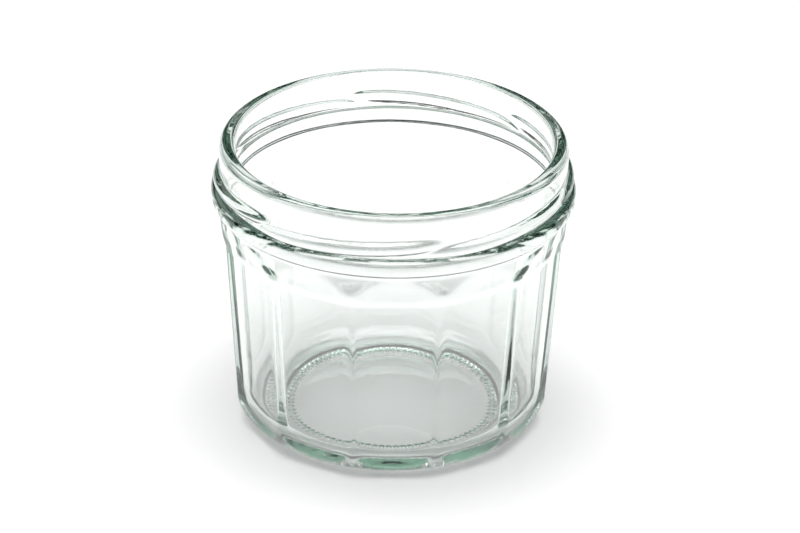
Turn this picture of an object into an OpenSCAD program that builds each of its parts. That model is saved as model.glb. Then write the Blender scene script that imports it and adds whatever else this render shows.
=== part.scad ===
// Low faceted jam pot in pressed glass, with a lug finish for a twist-off lid.
// The pot stands on z = 0 and its mouth opens upwards, in millimetres.
// Its facets face the axes, so one faces +X and one faces -Y.

/* [Overall] */
// Height from the bearing ring to the sealing lip
jar_h = 68.3; // [60:0.1:110]
// Outside of the neck, above and between the lugs
neck_d = 78.8; // [60:0.1:100]

/* [Mouth and lip] */
// Thickness of the neck's wall round the mouth
neck_wall_t = 3.4; // [2.9:0.1:4.4]
// Rounding of the lip's outer edge
lip_outer_r = 1.7; // [0.8:0.1:2.1]
// Rounding of the lip's inner edge
lip_inner_r = 1; // [0.5:0.1:1.4]

/* [Lugs] */
// Number of lugs that the lid turns under
lug_count = 6; // [4:1:6]
// How far a lug stands out from the neck
lug_out = 1.4; // [1:0.1:1.8]
// Radius of a lug's round section
lug_section_r = 1.7; // [1.4:0.1:2]
// Angle that one lug covers round the neck
lug_span = 67; // [50:1:72]
// Slope of a lug, rising to the right as seen from outside
lug_slope = 3.1; // [1:0.1:4]
// From the lip down to the middle of a lug
lug_drop = 8.1; // [7.5:0.1:8.5]
// Turn of the lugs against the facets
lug_turn = 12; // [0:1:29]

/* [Carrying bead] */
// How far the bead stands out from the neck
bead_out = 1.9; // [1.5:0.1:2.6]
// Height of the bead
bead_h = 4.2; // [3.8:0.1:5]
// Rounding of the bead's edges
bead_edge_r = 1.6; // [1.2:0.1:1.8]
// From the lip down to the middle of the bead
bead_drop = 12.1; // [12:0.1:14]
// Rounding of the hollow between the bead and the shoulder
bead_hollow_r = 1.2; // [1:0.1:2]

/* [Body] */
// How far the round shoulder under the bead stands out from the neck
shoulder_out = 0.35; // [0.1:0.05:1]
// How far the body's ridges lie inside the shoulder, where they end
ridge_step = 0.65; // [0.3:0.05:1.2]
// How much narrower the body's radius is at its foot than at the ridges' ends
body_taper = 3.15; // [2:0.05:4.5]
// Rounding of the heel, between body and foot
heel_r = 8.2; // [5:0.1:9]

/* [Facets] */
// Number of flat facets round the body
facet_count = 12; // [10:1:16]
// Angle of the round ridge that is left between two facets
ridge_span = 2.1; // [1:0.1:5]
// How much further up than the facets the ridges reach
ridge_rise = 0.4; // [0.2:0.1:1]
// From the lip down to the straight edge that ends a facet
facet_drop = 22.6; // [20.2:0.1:30]
// Slope of the ledge above that edge, from level
ledge_slope = 76; // [50:1:77]

/* [Inside] */
// Thickness of the wall behind a facet
wall_t = 3.7; // [2.5:0.1:4.5]
// From the lip down to the edge that ends a facet's inner side
inner_facet_drop = 22.4; // [18:0.1:28]
// Slope of the inner ledge above that edge, from level
inner_ledge_slope = 66; // [40:1:75]
// Thickness of the floor at its edge
floor_t = 2.6; // [2.2:0.1:5]
// Rounding between floor and wall, inside
floor_edge_r = 9; // [5:0.1:11]
// Height of the floor's crown over its edge
floor_crown = 0.6; // [0.4:0.1:1.5]

/* [Foot] */
// Width of the flat bearing ring that the pot stands on
bearing_w = 5; // [2:0.1:7]
// Height of the hollow under the floor
push_up = 1.4; // [0.8:0.1:2]

/* [Hidden] */
// Pieces, by name
// Faces round a full turn
$fn = 180;
// Overrun of a cut past the surface that it leaves
overrun = 1;
glass_colour = [0.78, 0.88, 0.84, 0.45];

// Every other radius follows the neck's
neck_r = neck_d / 2;
mouth_r = neck_r - neck_wall_t;
shoulder_r = neck_r + shoulder_out;
ridge_r = shoulder_r - ridge_step;

// The body is a cone that leans out by body_lean, up to the ridges' ends
facet_top_z = jar_h - facet_drop;
ridge_top_z = facet_top_z + ridge_rise;
body_foot_r = ridge_r - body_taper;
body_lean = atan(body_taper / ridge_top_z);
function body_r(z) = body_foot_r + z * tan(body_lean);

// A facet leaves half a ridge free on both its sides
facet_half_span = 180 / facet_count - ridge_span / 2;
facet_depth = ridge_r * (1 - cos(facet_half_span));

// The heel's circle touches the body's side and the foot's plane
heel_x = body_r(heel_r) - heel_r / cos(body_lean);
heel_end = [heel_x + heel_r * cos(body_lean), heel_r - heel_r * sin(body_lean)];

// The bead is a rounded bar, and a hollow's circle touches its lower round and the shoulder
bead_z = jar_h - bead_drop;
bead_top_z = bead_z + bead_h / 2;
bead_foot_z = bead_z - bead_h / 2;
bead_edge_x = neck_r + bead_out - bead_edge_r;
bead_edge_z = bead_foot_z + bead_edge_r;
bead_hollow_x = shoulder_r + bead_hollow_r;
bead_hollow_z = bead_edge_z
    - sqrt((bead_edge_r + bead_hollow_r) ^ 2 - (bead_hollow_x - bead_edge_x) ^ 2);

// A lug is part of a ring that is smaller than the neck and set off its axis,
// so that it stands out most at its middle and sinks into the neck at its ends
lug_mid_r = neck_r + lug_out - lug_section_r;
lug_end_r = neck_r - lug_section_r;
lug_offset = (lug_mid_r ^ 2 - lug_end_r ^ 2)
    / (2 * (lug_mid_r - lug_end_r * cos(lug_span / 2)));
lug_ring_r = lug_mid_r - lug_offset;
lug_ring_span = 2 * asin(lug_end_r * sin(lug_span / 2) / lug_ring_r);
// The ring's ends run on inside the wall of the neck
lug_buried_span = 8;

// The inside follows the facets at the wall's thickness, with ridges and a ledge of its own
function inner_facet_r(z) = body_r(z) - facet_depth - wall_t / cos(body_lean);
inner_top_z = jar_h - inner_facet_drop;
inner_top_r = inner_facet_r(inner_top_z);
inner_facet_depth = inner_top_r * (1 / cos(facet_half_span) - 1);
function cavity_r(z) = inner_facet_r(z) + inner_facet_depth;
inner_ridge_z = inner_top_z + ridge_rise;
bore_foot_z = inner_top_z + (mouth_r - inner_top_r) * tan(inner_ledge_slope) + ridge_rise;
floor_edge_z = floor_t + floor_edge_r;
floor_edge_x = cavity_r(floor_edge_z) - floor_edge_r / cos(body_lean);
floor_edge_end = [
    floor_edge_x + floor_edge_r * cos(body_lean),
    floor_edge_z - floor_edge_r * sin(body_lean)
];

// Radius of the ball whose cap has this half width and this height
function cap_ball_r(half_w, cap_h) = (half_w ^ 2 + cap_h ^ 2) / (2 * cap_h);

// Half section of the round form: heel, tapering body, shoulder, neck and lip
module round_section() {
    polygon([
        [0, 0],
        [heel_x, 0],
        [heel_x, heel_r],
        heel_end,
        [ridge_r, ridge_top_z],
        [shoulder_r, ridge_top_z + ridge_step * tan(ledge_slope)],
        [shoulder_r, bead_z],
        [neck_r, bead_z],
        [neck_r, jar_h - lip_outer_r],
        [neck_r - lip_outer_r, jar_h - lip_outer_r],
        [neck_r - lip_outer_r, jar_h],
        [0, jar_h]
    ]);
    translate([heel_x, heel_r]) circle(r = heel_r);
    translate([neck_r - lip_outer_r, jar_h - lip_outer_r]) circle(r = lip_outer_r);
}

// Half section of the carrying bead, from inside the neck's wall
module bead_section() {
    translate([mouth_r, bead_edge_z])
        square([neck_r + bead_out - mouth_r, bead_h - 2 * bead_edge_r]);
    translate([mouth_r, bead_foot_z]) square([bead_edge_x - mouth_r, bead_h]);
    translate([bead_edge_x, bead_edge_z]) circle(r = bead_edge_r);
    translate([bead_edge_x, bead_top_z - bead_edge_r]) circle(r = bead_edge_r);
}

// Half section of the hollow that leads from the bead down to the shoulder
module bead_hollow_section() {
    difference() {
        polygon([
            [mouth_r, bead_hollow_z],
            [bead_hollow_x, bead_hollow_z],
            [bead_edge_x, bead_edge_z],
            [mouth_r, bead_edge_z]
        ]);
        translate([bead_hollow_x, bead_hollow_z]) circle(r = bead_hollow_r);
    }
}

// One lug, with its middle over +X
module lug() {
    turn = lug_ring_span + lug_buried_span;
    translate([lug_offset, 0, jar_h - lug_drop])
        rotate([lug_slope, 0, 0])
            rotate([0, 0, -turn / 2])
                rotate_extrude(angle = turn)
                    translate([lug_ring_r, 0]) circle(r = lug_section_r);
}

// What lies beyond the facets and the ledges above them. A facet's middle is at
// radius top_r where it ends, at top_z, and round_r is the round form's radius above
module beyond_facets(top_r, top_z, slope, round_r) {
    out = round_r - top_r + overrun;
    below = top_z / cos(body_lean) + overrun;
    facet_w = 2 * round_r * tan(180 / facet_count);
    for (i = [0 : facet_count - 1])
        rotate([0, 0, i * 360 / facet_count])
            translate([top_r, 0, top_z])
                rotate([0, body_lean, 0])
                    rotate([90, 0, 0])
                        linear_extrude(facet_w, center = true)
                            polygon([
                                [0, -below],
                                [out, -below],
                                [out, out * tan(slope + body_lean)],
                                [0, 0]
                            ]);
}

// The outside: round form, facets, bead and lugs
module outside() {
    difference() {
        rotate_extrude() round_section();
        beyond_facets(body_r(facet_top_z) - facet_depth, facet_top_z, ledge_slope, shoulder_r);
    }
    rotate_extrude() {
        bead_section();
        bead_hollow_section();
    }
    for (i = [0 : lug_count - 1])
        rotate([0, 0, lug_turn + i * 360 / lug_count]) lug();
}

// Half section of the inside, from the floor to past the lip
module cavity_section() {
    polygon([
        [0, floor_t],
        [floor_edge_x, floor_t],
        [floor_edge_x, floor_edge_z],
        floor_edge_end,
        [cavity_r(inner_ridge_z), inner_ridge_z],
        [mouth_r, bore_foot_z],
        [mouth_r, jar_h + overrun],
        [0, jar_h + overrun]
    ]);
    translate([floor_edge_x, floor_edge_z]) circle(r = floor_edge_r);
}

// Half section of what is cut from the mouth's edge to round the lip inside
module lip_inner_section() {
    translate([mouth_r, jar_h - lip_inner_r])
        difference() {
            translate([-overrun, 0]) square([overrun + lip_inner_r, lip_inner_r + overrun]);
            translate([lip_inner_r, 0]) circle(r = lip_inner_r);
        }
}

// The inside, faceted and over the low crown of the floor
module cavity() {
    crown_r = cap_ball_r(floor_edge_x, floor_crown);
    difference() {
        rotate_extrude() cavity_section();
        beyond_facets(inner_top_r, inner_top_z, inner_ledge_slope, mouth_r);
        translate([0, 0, floor_t + floor_crown - crown_r]) sphere(r = crown_r);
    }
    rotate_extrude() lip_inner_section();
}

// The shallow hollow under the floor
module foot_hollow() {
    hollow_r = cap_ball_r(heel_x - bearing_w, push_up);
    translate([0, 0, push_up - hollow_r]) sphere(r = hollow_r);
}

// The whole pot, one piece of glass
module jar() {
    color(glass_colour)
        difference() {
            outside();
            cavity();
            foot_hollow();
        }
}

jar();
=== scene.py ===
"""A low jam pot in clear pressed glass, twelve-sided, with a lug finish for a twist-off lid.

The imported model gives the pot's place and size. One finely shaped piece of glass stands for it:
a half section is turned into a full one, and its body is then pressed flat into facets, its neck
raised into lugs and its foot knurled. Light comes from a soft card overhead, and the dark surround
below it draws the edges of the glass.
"""
import logging
import math
from dataclasses import dataclass, field
from enum import Enum

import bmesh
import bpy
from mathutils import Matrix, Vector


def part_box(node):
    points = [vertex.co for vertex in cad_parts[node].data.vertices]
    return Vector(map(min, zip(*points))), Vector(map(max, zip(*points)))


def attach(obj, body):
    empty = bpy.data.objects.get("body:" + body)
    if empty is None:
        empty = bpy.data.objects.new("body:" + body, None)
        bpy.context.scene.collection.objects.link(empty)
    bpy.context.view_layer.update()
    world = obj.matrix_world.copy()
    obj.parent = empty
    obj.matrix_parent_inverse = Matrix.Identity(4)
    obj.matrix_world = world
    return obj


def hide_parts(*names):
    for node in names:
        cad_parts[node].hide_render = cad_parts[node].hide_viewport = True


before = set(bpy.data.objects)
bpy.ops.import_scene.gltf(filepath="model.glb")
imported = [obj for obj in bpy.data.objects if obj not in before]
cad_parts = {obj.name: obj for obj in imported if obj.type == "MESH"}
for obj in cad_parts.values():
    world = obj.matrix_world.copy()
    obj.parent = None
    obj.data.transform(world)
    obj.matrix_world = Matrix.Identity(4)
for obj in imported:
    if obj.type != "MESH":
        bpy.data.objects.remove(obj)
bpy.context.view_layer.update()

MM = 0.001
FULL_TURN = 2 * math.pi
SAME_PLACE = 1e-6
WHITE = (1, 1, 1, 1)
log = logging.getLogger("jam_pot")


class Zone(Enum):
    """Which treatment a stretch of the pot's section gets once it is turned."""

    ROUND = "round"
    KNURL = "knurl"
    BODY = "body"
    NECK = "neck"
    INSIDE = "inside"


@dataclass(frozen=True)
class Station:
    """One point of a half section.

    Args:
        radius: distance from the axis, in metres.
        height: height over the floor, in metres.
        zone: what is done to the ring that this point is turned into.
    """

    radius: float
    height: float
    zone: Zone


@dataclass
class HalfSection:
    """A half section, drawn from point to point."""

    stations: list[Station] = field(default_factory=list)

    def start(self, radius: float, height: float, zone: Zone) -> None:
        """Puts down the first point."""
        self.stations.append(Station(radius, height, zone))

    def line(self, radius: float, height: float, steps: int, zone: Zone) -> None:
        """Draws a straight stretch from the last point.

        Args:
            radius: where it ends, from the axis.
            height: where it ends, over the floor.
            steps: number of points that it is drawn with.
            zone: treatment of its points.
        """
        last = self.stations[-1]
        for step in range(1, steps + 1):
            share = step / steps
            self.stations.append(
                Station(
                    last.radius + (radius - last.radius) * share,
                    last.height + (height - last.height) * share,
                    zone,
                )
            )

    def arc(
        self, centre: tuple[float, float], size: float, start: float, end: float, steps: int, zone: Zone
    ) -> None:
        """Draws a round stretch.

        Args:
            centre: middle of the arc, as radius and height.
            size: radius of the arc.
            start: angle of its first point, in degrees from outwards, counted upwards.
            end: angle of its last point.
            steps: number of points after the first.
            zone: treatment of its points.
        """
        for step in range(0, steps + 1):
            angle = math.radians(start + (end - start) * step / steps)
            point = Station(
                centre[0] + size * math.cos(angle), centre[1] + size * math.sin(angle), zone
            )
            last = self.stations[-1]
            if math.hypot(point.radius - last.radius, point.height - last.height) > SAME_PLACE:
                self.stations.append(point)


def soft_min(a: float, b: float, blend: float) -> float:
    """The lower of two values, with a soft change between them over about one blend."""
    return (a + b - math.sqrt((a - b) ** 2 + blend**2)) / 2


def soft_max(a: float, b: float, blend: float) -> float:
    """The higher of two values, with a soft change between them over about one blend."""
    return (a + b + math.sqrt((a - b) ** 2 + blend**2)) / 2


def soft_rise(distance: float, blend: float) -> float:
    """Zero before a place and the distance past it after, with a soft start."""
    return (distance + math.sqrt(distance**2 + blend**2)) / 2


def angle_from_nearest(angle: float, count: int, turn: float) -> float:
    """How far an angle is from the nearest of some evenly spread ones.

    Args:
        angle: the angle, in radians.
        count: how many there are in a full turn.
        turn: angle of one of them.

    Returns:
        The signed difference, in radians.
    """
    pitch = FULL_TURN / count
    return (angle - turn + pitch / 2) % pitch - pitch / 2


def way_towards(azimuth: float, elevation: float) -> Vector:
    """Unit vector of a direction, given by its turn from +X and its rise, in radians."""
    level = math.cos(elevation)
    return Vector((level * math.cos(azimuth), level * math.sin(azimuth), math.sin(elevation)))


def put_in_scene(name: str, mesh: bmesh.types.BMesh) -> bpy.types.Object:
    """Makes a worked mesh an object of the scene, and frees it.

    Args:
        name: name of the object and its mesh.
        mesh: the worked mesh.

    Returns:
        The object.
    """
    data = bpy.data.meshes.new(name)
    mesh.to_mesh(data)
    mesh.free()
    thing = bpy.data.objects.new(name, data)
    bpy.context.scene.collection.objects.link(thing)
    return thing


@dataclass(frozen=True)
class Steps:
    """How many points each stretch of the section is drawn with, and the whole turn."""

    hollow: int = 12
    knurl: int = 9
    ring: int = 2
    heel: int = 18
    wall: int = 6
    facet_end: int = 14
    ledge: int = 8
    shoulder: int = 12
    bead_hollow: int = 5
    bead_lower: int = 7
    bead_upper: int = 8
    neck_foot: int = 3
    neck: int = 32
    lip_outer: int = 10
    lip_inner: int = 8
    bore: int = 3
    bore_foot: int = 9
    inner_ledge: int = 9
    inner_facet_end: int = 8
    inner_wall: int = 6
    floor_edge: int = 12
    floor: int = 9
    turn: int = 252


@dataclass
class JarGlass:
    """The pot itself, one piece of pressed glass. All sizes are in metres."""

    height: float
    neck_r: float = 39.4 * MM
    mouth_r: float = 36.0 * MM
    lip_outer_r: float = 1.7 * MM
    lip_inner_r: float = 1.0 * MM
    lug_count: int = 6
    lug_top_r: float = 40.8 * MM
    lug_section_r: float = 1.7 * MM
    lug_span: float = math.radians(67)
    lug_slope: float = math.radians(3.1)
    lug_drop: float = 8.1 * MM
    lug_turn: float = math.radians(12)
    lug_blend: float = 0.2 * MM
    lug_fullness: float = 4.0
    bead_r: float = 41.3 * MM
    bead_h: float = 4.2 * MM
    bead_edge_r: float = 1.6 * MM
    bead_drop: float = 12.1 * MM
    bead_hollow_r: float = 1.2 * MM
    shoulder_r: float = 39.75 * MM
    ridge_step: float = 0.65 * MM
    body_taper: float = 3.15 * MM
    heel_r: float = 8.2 * MM
    facet_count: int = 12
    ridge_span: float = math.radians(2.1)
    ridge_rise: float = 0.4 * MM
    facet_drop: float = 22.6 * MM
    facet_blend: float = 0.2 * MM
    ledge_slope: float = math.radians(76)
    ledge_blend: float = 0.12 * MM
    wall_t: float = 3.7 * MM
    inner_facet_drop: float = 22.4 * MM
    inner_ledge_slope: float = math.radians(72)
    inner_ledge_blend: float = 0.3 * MM
    inner_ledge_arch: float = 0.6 * MM
    inner_facet_blend: float = 2.4 * MM
    floor_t: float = 2.6 * MM
    floor_edge_r: float = 9.0 * MM
    floor_crown: float = 0.6 * MM
    bearing_w: float = 5.0 * MM
    push_up: float = 1.4 * MM
    knurl_count: int = 84
    knurl_w: float = 2.2 * MM
    knurl_depth: float = 0.8 * MM
    fine_h: float = 3.0 * MM
    steps: Steps = Steps()

    @property
    def facet_top(self) -> float:
        """Height of the straight edge that ends a facet."""
        return self.height - self.facet_drop

    @property
    def ridge_top(self) -> float:
        """Height up to which the ridges between the facets reach."""
        return self.facet_top + self.ridge_rise

    @property
    def ledge_r(self) -> float:
        """Radius of the body's ridges at the foot of the ledge."""
        return self.shoulder_r - self.ridge_step

    @property
    def foot_r(self) -> float:
        """Radius that the tapering body would have at its foot."""
        return self.ledge_r - self.body_taper

    @property
    def facet_half_span(self) -> float:
        """Half the angle that a facet covers, which leaves half a ridge free on both its sides."""
        return math.pi / self.facet_count - self.ridge_span / 2

    @property
    def facet_depth(self) -> float:
        """Depth of a facet's middle below the round of the ridges."""
        return self.ledge_r * (1 - math.cos(self.facet_half_span))

    @property
    def lean(self) -> float:
        """Angle by which the body's sides lean out."""
        return math.atan(self.body_taper / self.ridge_top)

    @property
    def bead_z(self) -> float:
        """Height of the bead's middle."""
        return self.height - self.bead_drop

    def body_r(self, height: float) -> float:
        """Radius of the body's round form at a height."""
        return self.foot_r + height * math.tan(self.lean)

    def section(self) -> HalfSection:
        """Draws the half section, from the foot's middle up the outside and down the inside.

        Returns:
            The section's points.
        """
        half = HalfSection()
        self.draw_foot(half)
        self.draw_body(half)
        self.draw_bead(half)
        self.draw_neck(half)
        self.draw_inside(half)
        return half

    @property
    def heel_x(self) -> float:
        """Distance of the heel's middle from the axis."""
        return self.body_r(self.heel_r) - self.heel_r / math.cos(self.lean)

    def draw_foot(self, half: HalfSection) -> None:
        """Draws the hollow under the floor, the bearing ring and the heel."""
        ring_in = self.heel_x - self.bearing_w
        ball_r = (ring_in**2 + self.push_up**2) / (2 * self.push_up)
        half.start(0, self.push_up, Zone.ROUND)
        opening = math.degrees(math.asin(ring_in / ball_r))
        middle = (0, self.push_up - ball_r)
        half.arc(middle, ball_r, 90, 90 - opening, self.steps.hollow, Zone.ROUND)
        half.line(ring_in + self.knurl_w, 0, self.steps.knurl, Zone.KNURL)
        half.line(self.heel_x, 0, self.steps.ring, Zone.BODY)
        centre = (self.heel_x, self.heel_r)
        half.arc(centre, self.heel_r, -90, -math.degrees(self.lean), self.steps.heel, Zone.BODY)

    def draw_body(self, half: HalfSection) -> None:
        """Draws the tapering wall and the shoulder, up to the hollow under the bead."""
        fine_start = self.facet_top - self.fine_h
        half.line(self.body_r(fine_start), fine_start, self.steps.wall, Zone.BODY)
        half.line(self.ledge_r, self.ridge_top, self.steps.facet_end, Zone.BODY)
        ledge_end = self.ridge_top + self.ridge_step * math.tan(self.ledge_slope)
        half.line(self.shoulder_r, ledge_end, self.steps.ledge, Zone.BODY)
        half.line(self.shoulder_r, self.hollow_z, self.steps.shoulder, Zone.BODY)

    @property
    def bead_edge_x(self) -> float:
        """Distance of the middles of the bead's edge rounds from the axis."""
        return self.bead_r - self.bead_edge_r

    @property
    def bead_edge_z(self) -> float:
        """Height of the middle of the bead's lower edge round."""
        return self.bead_z - self.bead_h / 2 + self.bead_edge_r

    @property
    def hollow_x(self) -> float:
        """Distance of the middle of the hollow under the bead from the axis."""
        return self.shoulder_r + self.bead_hollow_r

    @property
    def hollow_z(self) -> float:
        """Height of the middle of the hollow under the bead."""
        reach = self.bead_edge_r + self.bead_hollow_r
        return self.bead_edge_z - math.sqrt(reach**2 - (self.hollow_x - self.bead_edge_x) ** 2)

    def draw_bead(self, half: HalfSection) -> None:
        """Draws the hollow under the bead and the bead, up to the neck."""
        turn = math.degrees(
            math.atan2(self.bead_edge_z - self.hollow_z, self.bead_edge_x - self.hollow_x)
        )
        hollow = (self.hollow_x, self.hollow_z)
        half.arc(hollow, self.bead_hollow_r, 180, turn, self.steps.bead_hollow, Zone.ROUND)
        lower = (self.bead_edge_x, self.bead_edge_z)
        upper = (self.bead_edge_x, self.bead_z + self.bead_h / 2 - self.bead_edge_r)
        half.arc(lower, self.bead_edge_r, turn - 180, 0, self.steps.bead_lower, Zone.ROUND)
        half.arc(upper, self.bead_edge_r, 0, 90, self.steps.bead_upper, Zone.ROUND)

    def draw_neck(self, half: HalfSection) -> None:
        """Draws the neck with room for its lugs, and the lip."""
        neck_foot = self.bead_z + self.bead_h / 2
        half.line(self.neck_r, neck_foot, self.steps.neck_foot, Zone.ROUND)
        half.line(self.neck_r, self.height - self.lip_outer_r, self.steps.neck, Zone.NECK)
        outer = (self.neck_r - self.lip_outer_r, self.height - self.lip_outer_r)
        inner = (self.mouth_r + self.lip_inner_r, self.height - self.lip_inner_r)
        half.arc(outer, self.lip_outer_r, 0, 90, self.steps.lip_outer, Zone.ROUND)
        half.arc(inner, self.lip_inner_r, 90, 180, self.steps.lip_inner, Zone.ROUND)

    @property
    def inner_top(self) -> float:
        """Height of the edge that ends a facet's inner side."""
        return self.height - self.inner_facet_drop

    def inner_facet_r(self, height: float) -> float:
        """Distance of the inner side of a facet's middle from the axis."""
        return self.body_r(height) - self.facet_depth - self.wall_t / math.cos(self.lean)

    @property
    def inner_ridge_out(self) -> float:
        """How far out the inner ridges lie behind the middles of the inner facets."""
        return self.inner_facet_r(self.inner_top) * (1 / math.cos(self.facet_half_span) - 1)

    @property
    def bore_foot(self) -> float:
        """Height at which the bore of the mouth starts, above all the inner ledges."""
        ledge_out = self.mouth_r - self.inner_facet_r(self.inner_top)
        return self.inner_top + ledge_out * math.tan(self.inner_ledge_slope) + self.ridge_rise

    def cavity_r(self, height: float) -> float:
        """Radius of the inside's round form at a height."""
        return self.inner_facet_r(height) + self.inner_ridge_out

    def draw_inside(self, half: HalfSection) -> None:
        """Draws the bore of the mouth, the inner wall and the floor."""
        cos_lean = math.cos(self.lean)
        edge_z = self.floor_t + self.floor_edge_r
        edge_x = self.cavity_r(edge_z) - self.floor_edge_r / cos_lean
        ridge_z = self.inner_top + self.ridge_rise
        ridge_r = self.cavity_r(ridge_z)
        half.line(self.mouth_r, self.bore_foot + self.fine_h, self.steps.bore, Zone.INSIDE)
        half.line(self.mouth_r, self.bore_foot, self.steps.bore_foot, Zone.INSIDE)
        half.line(ridge_r, ridge_z, self.steps.inner_ledge, Zone.INSIDE)
        fine_end = self.inner_top - self.fine_h
        half.line(self.cavity_r(fine_end), fine_end, self.steps.inner_facet_end, Zone.INSIDE)
        wall_end_r = edge_x + self.floor_edge_r * cos_lean
        wall_end = edge_z - self.floor_edge_r * math.sin(self.lean)
        half.line(wall_end_r, wall_end, self.steps.inner_wall, Zone.INSIDE)
        crown_r = (edge_x**2 + self.floor_crown**2) / (2 * self.floor_crown)
        opening = math.degrees(math.asin(edge_x / crown_r))
        lean = math.degrees(self.lean)
        edge = (edge_x, edge_z)
        half.arc(edge, self.floor_edge_r, -lean, -90, self.steps.floor_edge, Zone.INSIDE)
        crown = (0, self.floor_t + self.floor_crown - crown_r)
        half.arc(crown, crown_r, 90 - opening, 90, self.steps.floor, Zone.ROUND)

    def facet_reach(self, angle: float, height: float) -> float:
        """How far the nearest facet, or the ledge above it, lets the glass reach.

        Args:
            angle: direction from the axis, in radians.
            height: height over the floor.

        Returns:
            The distance from the axis.
        """
        top = self.facet_top
        plane = self.body_r(height) - self.facet_depth
        steeper = 1 / math.tan(self.ledge_slope) - math.tan(self.lean)
        plane += soft_rise(height - top, self.ledge_blend) * steeper
        return plane / math.cos(angle_from_nearest(angle, self.facet_count, 0))

    def inner_reach(self, angle: float, height: float) -> float:
        """How far out the inner wall lies behind the nearest facet, or behind its ledge.

        Args:
            angle: direction from the axis, in radians.
            height: height over the floor.

        Returns:
            The distance from the axis.
        """
        off = angle_from_nearest(angle, self.facet_count, 0)
        sideways = off / (math.pi / self.facet_count)
        top = self.inner_top + self.inner_ledge_arch * sideways**2
        steeper = 1 / math.tan(self.inner_ledge_slope) - math.tan(self.lean)
        ledge = soft_rise(height - top, self.inner_ledge_blend) * steeper
        return (self.inner_facet_r(height) + ledge) / math.cos(off)

    def lug_reach(self, angle: float, height: float) -> float:
        """How far a lug reaches out from the axis.

        Each lug is a round bar that climbs along the neck. It keeps its full height over most
        of its length and sinks into the neck at both ends.

        Args:
            angle: direction from the axis, in radians.
            height: height over the floor.

        Returns:
            The distance from the axis, or zero where there is no lug.
        """
        lug_out = self.lug_top_r - self.neck_r
        best = 0.0
        near = angle_from_nearest(angle, self.lug_count, self.lug_turn)
        pitch = FULL_TURN / self.lug_count
        for swing in (near - pitch, near, near + pitch):
            sunk = lug_out * (2 * abs(swing) / self.lug_span) ** self.lug_fullness
            if sunk > 2 * lug_out:
                continue
            centre_r = self.lug_top_r - self.lug_section_r - sunk
            rise = self.neck_r * math.sin(swing) * math.tan(self.lug_slope)
            away = height - (self.height - self.lug_drop + rise)
            if abs(away) < self.lug_section_r:
                best = max(best, centre_r + math.sqrt(self.lug_section_r**2 - away**2))
        return best

    def knurl_cut(self, angle: float, radius: float) -> float:
        """Depth of the knurling under the foot.

        Args:
            angle: direction from the axis, in radians.
            radius: distance from the axis.

        Returns:
            How far the foot's surface is drawn in.
        """
        across = (radius - self.heel_x + self.bearing_w) / self.knurl_w
        if not 0 < across < 1:
            return 0.0
        wave = (1 - math.cos(self.knurl_count * angle)) / 2
        return self.knurl_depth * wave * math.sqrt(math.sin(math.pi * across))

    def build(self) -> bpy.types.Object:
        """Turns the section, shapes facets, lugs and knurling, and closes the glass.

        Returns:
            The pot's object.
        """
        stations = self.section().stations
        mesh = bmesh.new()
        row = mesh.verts.layers.float.new("row")
        points = []
        for number, station in enumerate(stations):
            point = mesh.verts.new((station.radius, 0, station.height))
            point[row] = number
            points.append(point)
        profile = [mesh.edges.new(pair) for pair in zip(points, points[1:])]
        bmesh.ops.spin(
            mesh, geom=points + profile, cent=(0, 0, 0), axis=(0, 0, 1), dvec=(0, 0, 0),
            angle=FULL_TURN, steps=self.steps.turn, use_merge=True, use_duplicate=False,
        )
        bmesh.ops.remove_doubles(mesh, verts=mesh.verts, dist=SAME_PLACE)
        self.refine(mesh, row, stations, {Zone.KNURL, Zone.BODY, Zone.NECK, Zone.INSIDE})
        self.refine(mesh, row, stations, {Zone.KNURL})
        for point in mesh.verts:
            self.shape(point, stations[round(point[row])])
        bmesh.ops.recalc_face_normals(mesh, faces=mesh.faces)
        for face in mesh.faces:
            face.smooth = True
        return put_in_scene("jar_glass", mesh)

    def refine(
        self,
        mesh: bmesh.types.BMesh,
        row: bmesh.types.BMLayerItem,
        stations: list[Station],
        zones: set[Zone],
    ) -> None:
        """Doubles the number of points round the axis in some zones.

        Args:
            mesh: the turned glass.
            row: layer that holds each point's number in the section.
            stations: the section's points.
            zones: the zones to refine.
        """
        rounds = []
        for edge in mesh.edges:
            rows = {round(end[row]) for end in edge.verts}
            if len(rows) == 1 and stations[rows.pop()].zone in zones:
                rounds.append(edge)
        bmesh.ops.subdivide_edges(mesh, edges=rounds, cuts=1, use_grid_fill=True)

    def shape(self, point: bmesh.types.BMVert, station: Station) -> None:
        """Puts one point of the glass where the pressed form has it.

        Args:
            point: the point.
            station: the section's point that it was turned from.
        """
        if station.radius < SAME_PLACE:
            return
        angle = math.atan2(point.co.y, point.co.x)
        radius = station.radius
        height = station.height
        if station.zone in (Zone.BODY, Zone.KNURL):
            radius = soft_min(radius, self.facet_reach(angle, height), self.facet_blend)
        if station.zone is Zone.INSIDE:
            blend = self.inner_facet_blend
            radius = soft_min(radius, self.inner_reach(angle, height), blend)
            radius += (math.hypot(self.inner_ridge_out, blend) - self.inner_ridge_out) / 2
        if station.zone is Zone.NECK:
            radius = soft_max(radius, self.lug_reach(angle, height), self.lug_blend)
        if station.zone is Zone.KNURL:
            height += self.knurl_cut(angle, station.radius)
        point.co = Vector((radius * math.cos(angle), radius * math.sin(angle), height))


class Socket:
    """Wraps a node's output, so that shader maths reads as plain sums."""

    def __init__(self, tree: "ShaderTree", output: bpy.types.NodeSocket) -> None:
        self.tree = tree
        self.output = output

    def __add__(self, other: "Socket | float") -> "Socket":
        """Adds a value."""
        return self.tree.maths("ADD", self, other)

    __radd__ = __add__


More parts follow.
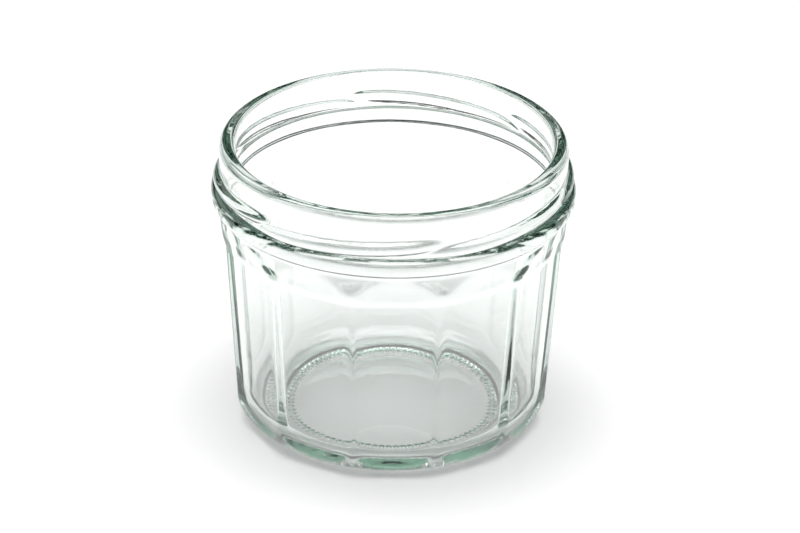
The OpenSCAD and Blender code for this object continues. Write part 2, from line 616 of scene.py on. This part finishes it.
class ShaderTree:
    """A node tree that is filled by plain calls."""

    def __init__(self, tree: bpy.types.NodeTree) -> None:
        self.tree = tree
        tree.nodes.clear()

    def node(self, kind: str, settings: dict | None = None, **sockets: object) -> bpy.types.Node:
        """Adds a node.

        Args:
            kind: the node's type.
            settings: its own settings, which are set first.
            sockets: values or links of its inputs, by name, with _ for a blank.

        Returns:
            The node.
        """
        node = self.tree.nodes.new(kind)
        for name, value in (settings or {}).items():
            setattr(node, name, value)
        for name, value in sockets.items():
            self.feed(node.inputs[name.replace("_", " ")], value)
        return node

    def feed(self, socket: bpy.types.NodeSocket, value: object) -> None:
        """Sets one input to a value, or links it to an output."""
        if isinstance(value, Socket):
            self.tree.links.new(value.output, socket)
        elif isinstance(value, bpy.types.NodeSocket):
            self.tree.links.new(value, socket)
        else:
            socket.default_value = value

    def out(self, node: bpy.types.Node, name: str) -> Socket:
        """One output of a node, ready for sums."""
        return Socket(self, node.outputs[name])

    def maths(self, operation: str, *values: "Socket | float") -> Socket:
        """Adds a Math node.

        Args:
            operation: what it does.
            values: its inputs, in order.

        Returns:
            Its output.
        """
        node = self.node("ShaderNodeMath", {"operation": operation})
        for socket, value in zip(node.inputs, values):
            self.feed(socket, value)
        return Socket(self, node.outputs[0])

    def card(self, way: Socket, card: "SoftCard") -> Socket:
        """Brightness of one soft card in a direction.

        Args:
            way: the direction, as a unit vector.
            card: the card.

        Returns:
            Its strength inside, falling softly to zero outside.
        """
        facing = self.node("ShaderNodeVectorMath", {"operation": "DOT_PRODUCT"})
        self.feed(facing.inputs[0], way)
        self.feed(facing.inputs[1], card.direction)
        fade = self.node(
            "ShaderNodeMapRange",
            {"interpolation_type": "SMOOTHSTEP"},
            Value=facing.outputs["Value"],
            From_Min=math.cos(math.radians(card.spread + card.fade)),
            From_Max=math.cos(math.radians(card.spread)),
            To_Min=0.0,
            To_Max=card.strength,
        )
        return Socket(self, fade.outputs["Result"])


@dataclass(frozen=True)
class ClearGlass:
    """Clear pressed soda glass, green only where light runs a long way inside it."""

    name: str = "clear_glass"
    ior: float = 1.52
    tint: tuple[float, float, float] = (0.26, 0.5, 0.38)
    density: float = 20.0
    roughness: float = 0.0
    ripple_scale: float = 40.0
    ripple_detail: float = 1.5
    ripple_height: float = 0.00005

    def material(self) -> bpy.types.Material:
        """Makes the finish.

        Returns:
            The material.
        """
        material = bpy.data.materials.new(self.name)
        material.use_nodes = True
        shade = ShaderTree(material.node_tree)
        place = shade.out(shade.node("ShaderNodeTexCoord"), "Object")
        ripple = shade.node(
            "ShaderNodeTexNoise", Vector=place, Scale=self.ripple_scale, Detail=self.ripple_detail
        )
        bump = shade.node(
            "ShaderNodeBump", Height=ripple.outputs["Fac"], Strength=1.0, Distance=self.ripple_height
        )
        glass = shade.node(
            "ShaderNodeBsdfPrincipled",
            Base_Color=WHITE,
            Roughness=self.roughness,
            IOR=self.ior,
            Transmission_Weight=1.0,
            Normal=bump.outputs["Normal"],
        )
        body = shade.node("ShaderNodeVolumeAbsorption", Color=(*self.tint, 1), Density=self.density)
        shade.node(
            "ShaderNodeOutputMaterial", Surface=glass.outputs["BSDF"], Volume=body.outputs["Volume"]
        )
        return material


@dataclass(frozen=True)
class PaleFloor:
    """The matt finish of the studio's floor, which glows a little by itself."""

    name: str = "pale_floor"
    tone: float = 0.86
    roughness: float = 0.9
    gloss: float = 0.1
    glow: float = 0.08

    def material(self) -> bpy.types.Material:
        """Makes the finish.

        Returns:
            The material.
        """
        material = bpy.data.materials.new(self.name)
        material.use_nodes = True
        shade = ShaderTree(material.node_tree)
        paint = shade.node(
            "ShaderNodeBsdfPrincipled",
            Base_Color=(self.tone, self.tone, self.tone, 1),
            Roughness=self.roughness,
            Specular_IOR_Level=self.gloss,
            Emission_Color=WHITE,
            Emission_Strength=self.glow,
        )
        shade.node("ShaderNodeOutputMaterial", Surface=paint.outputs["BSDF"])
        return material


@dataclass(frozen=True)
class SoftCard:
    """A round patch of the surround that shines.

    Args:
        azimuth: its direction in degrees, counted from +X.
        elevation: its height over the horizon, in degrees.
        spread: angle from its middle to where it starts to fade, in degrees.
        fade: angle over which it fades, in degrees.
        strength: what it adds to the surround's brightness.
    """

    azimuth: float
    elevation: float
    spread: float
    fade: float
    strength: float

    @property
    def direction(self) -> Vector:
        """Unit vector towards the card's middle."""
        return way_towards(math.radians(self.azimuth), math.radians(self.elevation))


@dataclass
class Studio:
    """A pale floor and a dim surround with soft bright cards."""

    floor_reach: float = 6.0
    floor_finish: PaleFloor = PaleFloor()
    dim: float = 0.0
    cards: tuple[SoftCard, ...] = (
        SoftCard(0, 90, 28, 10, 4.15),
        SoftCard(135, 28, 12, 10, 1.0),
    )
    light_bounces: int = 24

    def build(self) -> None:
        """Lays the floor, lights the scene and sets how light is followed and shown."""
        self.floor()
        self.world()
        scene = bpy.context.scene
        scene.view_settings.view_transform = "Standard"
        scene.cycles.max_bounces = self.light_bounces
        scene.cycles.transmission_bounces = self.light_bounces
        scene.cycles.glossy_bounces = self.light_bounces

    def floor(self) -> None:
        """Lays the pale floor."""
        mesh = bmesh.new()
        bmesh.ops.create_grid(mesh, x_segments=1, y_segments=1, size=self.floor_reach)
        floor = put_in_scene("floor", mesh)
        floor.data.materials.append(self.floor_finish.material())

    def world(self) -> None:
        """Lights the scene from its surround."""
        world = bpy.data.worlds.new("studio")
        bpy.context.scene.world = world
        world.use_nodes = True
        shade = ShaderTree(world.node_tree)
        way = shade.out(shade.node("ShaderNodeTexCoord"), "Generated")
        brightness: Socket | float = self.dim
        for card in self.cards:
            brightness = shade.card(way, card) + brightness
        glow = shade.node("ShaderNodeBackground", Color=WHITE, Strength=brightness)
        shade.node("ShaderNodeOutputWorld", Surface=glow.outputs["Background"])


@dataclass(frozen=True)
class PhotoCamera:
    """The photograph's view of the pot."""

    distance: float = 1.0
    elevation: float = math.radians(27.6)
    azimuth: float = math.radians(-91.5)
    roll: float = math.radians(0.85)
    target: tuple[float, float, float] = (0.0, 0.0, 34.0 * MM)
    focal_px: float = 4374.0
    target_right_px: float = -7.8
    target_down_px: float = 8.2
    photo_width_px: int = 800
    sensor: float = 36.0
    reach: float = 50.0

    def build(self) -> None:
        """Places the camera, and makes it the scene's own."""
        towards = way_towards(self.azimuth, self.elevation)
        target = Vector(self.target)
        place = target + towards * self.distance
        level = Vector((0, 0, 1)).cross(towards).normalized()
        upright = towards.cross(level)
        right = level * math.cos(self.roll) + upright * math.sin(self.roll)
        up = upright * math.cos(self.roll) - level * math.sin(self.roll)
        scale = self.distance / self.focal_px
        aim = target - right * self.target_right_px * scale + up * self.target_down_px * scale
        back = (place - aim).normalized()
        right = up.cross(back).normalized()
        up = back.cross(right)
        data = bpy.data.cameras.new("photo_camera")
        data.sensor_width = self.sensor
        data.lens = self.focal_px * self.sensor / self.photo_width_px
        data.clip_end = self.reach
        camera = bpy.data.objects.new("photo_camera", data)
        turn = Matrix((right, up, back)).transposed().to_4x4()
        camera.matrix_world = Matrix.Translation(place) @ turn
        bpy.context.scene.collection.objects.link(camera)
        bpy.context.scene.camera = camera


def main() -> None:
    """Builds the camera, the studio and the pot, in that order."""
    logging.basicConfig(level=logging.INFO, format="%(message)s")
    PhotoCamera().build()
    Studio().build()
    low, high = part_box("jar")
    jar = JarGlass(height=high[2] - low[2])
    glass = jar.build()
    glass.data.materials.append(ClearGlass().material())
    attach(glass, "root")
    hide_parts("jar")
    log.info("jar_glass: %d faces", len(glass.data.polygons))


if __name__ == "__main__":
    main()
